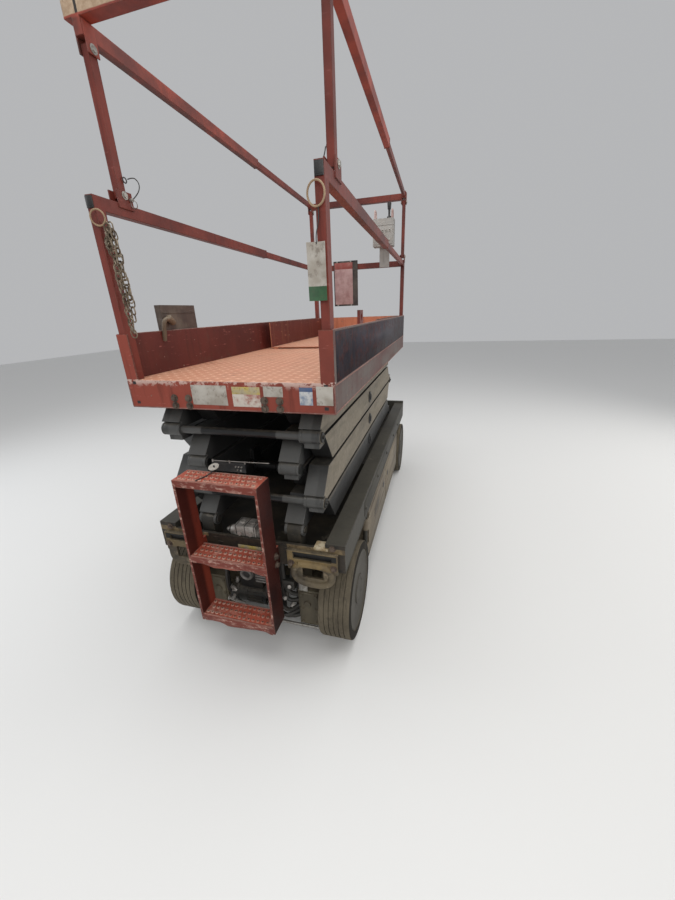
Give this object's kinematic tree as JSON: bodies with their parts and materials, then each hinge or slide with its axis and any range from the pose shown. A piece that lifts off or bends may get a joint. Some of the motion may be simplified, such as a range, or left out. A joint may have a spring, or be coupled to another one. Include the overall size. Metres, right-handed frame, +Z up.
{
  "type": "electric slab scissor lift",
  "caption": "Self-propelled scissor lift with stacked folding arms, a railed platform with a roll-out deck, steered front wheels and a rear entry ladder.",
  "frame": {"origin": "on the floor under the centre of the bounding box", "axes": "+Y towards the steered front end, +X to the right, +Z up"},
  "size_m": [0.81, 2.24, 2.14],
  "materials": {
    "paint_red": "worn red enamel over steel, scuffed and dusty",
    "deck_paint": "red enamel on tread plate, worn to pale steel",
    "arm_paint": "dark grey enamel, dusty on the flanks",
    "chassis_paint": "grey enamel under beige dust",
    "axle_paint": "oily dark grey enamel",
    "tyre": "solid non-marking grey rubber, scuffed",
    "wheel_disc": "light grey enamel, dusty",
    "rusty_plate": "rusty tan plate with flaking paint",
    "pump_metal": "black painted casting, oily",
    "valve_metal": "machined light alloy, stained",
    "chrome_rod": "hard chrome rod",
    "chain_steel": "zinc plated chain, dulled",
    "box_grey": "moulded dark grey plastic",
    "board_black": "black plastic board with a plain pale panel",
    "side_box": "brown-grey enamel"
  },
  "bodies": {
    "chassis": {"chassis_frame": "chassis_paint", "rear_axle": "axle_paint", "front_axle": "axle_paint", "entry_ladder": "paint_red", "tie_down_plates": "rusty_plate", "drive_pump": "pump_metal", "valve_block": "valve_metal"},
    "tray_left": {"tray_left": "chassis_paint"},
    "tray_right": {"tray_right": "chassis_paint"},
    "knuckle_left": {"knuckle_left": "axle_paint"},
    "knuckle_right": {"knuckle_right": "axle_paint"},
    "tie_rod": {"tie_rod": "axle_paint"},
    "wheel_rear_left": {"tyre_rear_left": "tyre", "hub_rear_left": "wheel_disc"},
    "wheel_rear_right": {"tyre_rear_right": "tyre", "hub_rear_right": "wheel_disc"},
    "wheel_front_left": {"tyre_front_left": "tyre", "hub_front_left": "wheel_disc"},
    "wheel_front_right": {"tyre_front_right": "tyre", "hub_front_right": "wheel_disc"},
    "inner_arms_1": {"inner_arms_1": "arm_paint"},
    "outer_arms_1": {"outer_arms_1": "arm_paint"},
    "inner_arms_2": {"inner_arms_2": "arm_paint"},
    "outer_arms_2": {"outer_arms_2": "arm_paint"},
    "inner_arms_3": {"inner_arms_3": "arm_paint"},
    "outer_arms_3": {"outer_arms_3": "arm_paint"},
    "inner_arms_4": {"inner_arms_4": "arm_paint"},
    "outer_arms_4": {"outer_arms_4": "arm_paint"},
    "lift_barrel": {"lift_barrel": "arm_paint"},
    "lift_rod": {"lift_rod": "chrome_rod"},
    "platform": {"platform_floor": "deck_paint", "platform_sides": "paint_red", "lower_rails": "paint_red", "side_box": "side_box", "entry_chain": "chain_steel", "lanyard_anchor": "paint_red"},
    "extension": {"extension_deck": "deck_paint", "extension_rails": "paint_red", "control_box": "box_grey", "instruction_board": "board_black"},
    "upper_posts_rear": {"upper_posts_rear": "paint_red"},
    "upper_posts_front": {"upper_posts_front": "paint_red"},
    "top_rail": {"top_rail_main": "paint_red"},
    "top_rail_front": {"top_rail_front": "paint_red"}
  },
  "joints": [
    {"name": "lift", "type": "hinge", "parent": "chassis", "child": "inner_arms_1", "pos_m": [0, -0.96, 0.56], "axis": [1, 0, 0], "range_deg": [0, 56]},
    {"name": "centre_1", "type": "hinge", "parent": "inner_arms_1", "child": "outer_arms_1", "pos_m": [0, -0.09, 0.6225], "axis": [1, 0, 0], "range_deg": [-112, 0]},
    {"name": "near_joint_1", "type": "hinge", "parent": "outer_arms_1", "child": "outer_arms_2", "pos_m": [0, -0.96, 0.685], "axis": [1, 0, 0], "range_deg": [0, 112]},
    {"name": "centre_2", "type": "hinge", "parent": "outer_arms_2", "child": "inner_arms_2", "pos_m": [0, -0.09, 0.7475], "axis": [1, 0, 0], "range_deg": [-112, 0]},
    {"name": "near_joint_2", "type": "hinge", "parent": "inner_arms_2", "child": "inner_arms_3", "pos_m": [0, -0.96, 0.81], "axis": [1, 0, 0], "range_deg": [0, 112]},
    {"name": "centre_3", "type": "hinge", "parent": "inner_arms_3", "child": "outer_arms_3", "pos_m": [0, -0.09, 0.8725], "axis": [1, 0, 0], "range_deg": [-112, 0]},
    {"name": "near_joint_3", "type": "hinge", "parent": "outer_arms_3", "child": "outer_arms_4", "pos_m": [0, -0.96, 0.935], "axis": [1, 0, 0], "range_deg": [0, 112]},
    {"name": "centre_4", "type": "hinge", "parent": "outer_arms_4", "child": "inner_arms_4", "pos_m": [0, -0.09, 0.9975], "axis": [1, 0, 0], "range_deg": [-112, 0]},
    {"name": "platform_joint", "type": "hinge", "parent": "inner_arms_4", "child": "platform", "pos_m": [0, -0.96, 1.06], "axis": [1, 0, 0], "range_deg": [0, 56]},
    {"name": "barrel_pivot", "type": "hinge", "parent": "inner_arms_2", "child": "lift_barrel", "pos_m": [0, -0.62, 0.65], "axis": [1, 0, 0], "range_deg": [-8.5, 0]},
    {"name": "rod_slide", "type": "slide", "parent": "lift_barrel", "child": "lift_rod", "axis": [0, 1, 0], "range_m": [0, 0.462]},
    {"name": "extension_slide", "type": "slide", "parent": "platform", "child": "extension", "axis": [0, 1, 0], "range_m": [0, 0.9]},
    {"name": "rail_fold", "type": "hinge", "parent": "platform", "child": "upper_posts_rear", "pos_m": [0, -0.885, 1.693], "axis": [-1, 0, 0], "range_deg": [0, 80]},
    {"name": "rail_level", "type": "hinge", "parent": "upper_posts_rear", "child": "top_rail", "pos_m": [0, -0.885, 2.042], "axis": [-1, 0, 0], "range_deg": [-80, 0]},
    {"name": "front_post_fold", "type": "hinge", "parent": "extension", "child": "upper_posts_front", "pos_m": [0, 1.042, 1.693], "axis": [-1, 0, 0], "range_deg": [0, 80]},
    {"name": "top_rail_slide", "type": "slide", "parent": "top_rail", "child": "top_rail_front", "axis": [0, 1, 0], "range_m": [0, 0.9]},
    {"name": "steer", "type": "hinge", "parent": "chassis", "child": "knuckle_left", "pos_m": [-0.235, 0.895, 0.203], "axis": [0, 0, 1], "range_deg": [-60, 60]},
    {"name": "steer_right", "type": "hinge", "parent": "chassis", "child": "knuckle_right", "pos_m": [0.235, 0.895, 0.203], "axis": [0, 0, 1], "range_deg": [-60, 60]},
    {"name": "tie_rod_joint", "type": "hinge", "parent": "knuckle_left", "child": "tie_rod", "pos_m": [-0.235, 0.785, 0.09], "axis": [0, 0, 1], "range_deg": [-60, 60]},
    {"name": "wheel_rear_left_spin", "type": "hinge", "parent": "chassis", "child": "wheel_rear_left", "pos_m": [-0.3415, -0.835, 0.203], "axis": [1, 0, 0], "continuous": true},
    {"name": "wheel_front_left_spin", "type": "hinge", "parent": "knuckle_left", "child": "wheel_front_left", "pos_m": [-0.3415, 0.895, 0.203], "axis": [1, 0, 0], "continuous": true},
    {"name": "tray_left_swing", "type": "hinge", "parent": "chassis", "child": "tray_left", "pos_m": [-0.378, -0.573, 0.3], "axis": [0, 0, 1], "range_deg": [0, 90]},
    {"name": "wheel_rear_right_spin", "type": "hinge", "parent": "chassis", "child": "wheel_rear_right", "pos_m": [0.3415, -0.835, 0.203], "axis": [1, 0, 0], "continuous": true},
    {"name": "wheel_front_right_spin", "type": "hinge", "parent": "knuckle_right", "child": "wheel_front_right", "pos_m": [0.3415, 0.895, 0.203], "axis": [1, 0, 0], "continuous": true},
    {"name": "tray_right_swing", "type": "hinge", "parent": "chassis", "child": "tray_right", "pos_m": [0.378, -0.573, 0.3], "axis": [0, 0, -1], "range_deg": [0, 90]}
  ],
  "couplings": [
    {"joint": "centre_1", "follows": "lift", "ratio": -2},
    {"joint": "near_joint_1", "follows": "lift", "ratio": 2},
    {"joint": "centre_2", "follows": "lift", "ratio": -2},
    {"joint": "near_joint_2", "follows": "lift", "ratio": 2},
    {"joint": "centre_3", "follows": "lift", "ratio": -2},
    {"joint": "near_joint_3", "follows": "lift", "ratio": 2},
    {"joint": "centre_4", "follows": "lift", "ratio": -2},
    {"joint": "platform_joint", "follows": "lift", "ratio": 1},
    {"joint": "barrel_pivot", "follows": "lift", "ratio": -0.1512},
    {"joint": "rod_slide", "follows": "lift", "m_per_rad": 0.4725},
    {"joint": "rail_level", "follows": "rail_fold", "ratio": -1},
    {"joint": "front_post_fold", "follows": "rail_fold", "ratio": 1},
    {"joint": "top_rail_slide", "follows": "extension_slide", "ratio": 1},
    {"joint": "steer_right", "follows": "steer", "ratio": 1},
    {"joint": "tie_rod_joint", "follows": "steer", "ratio": -1}
  ]
}
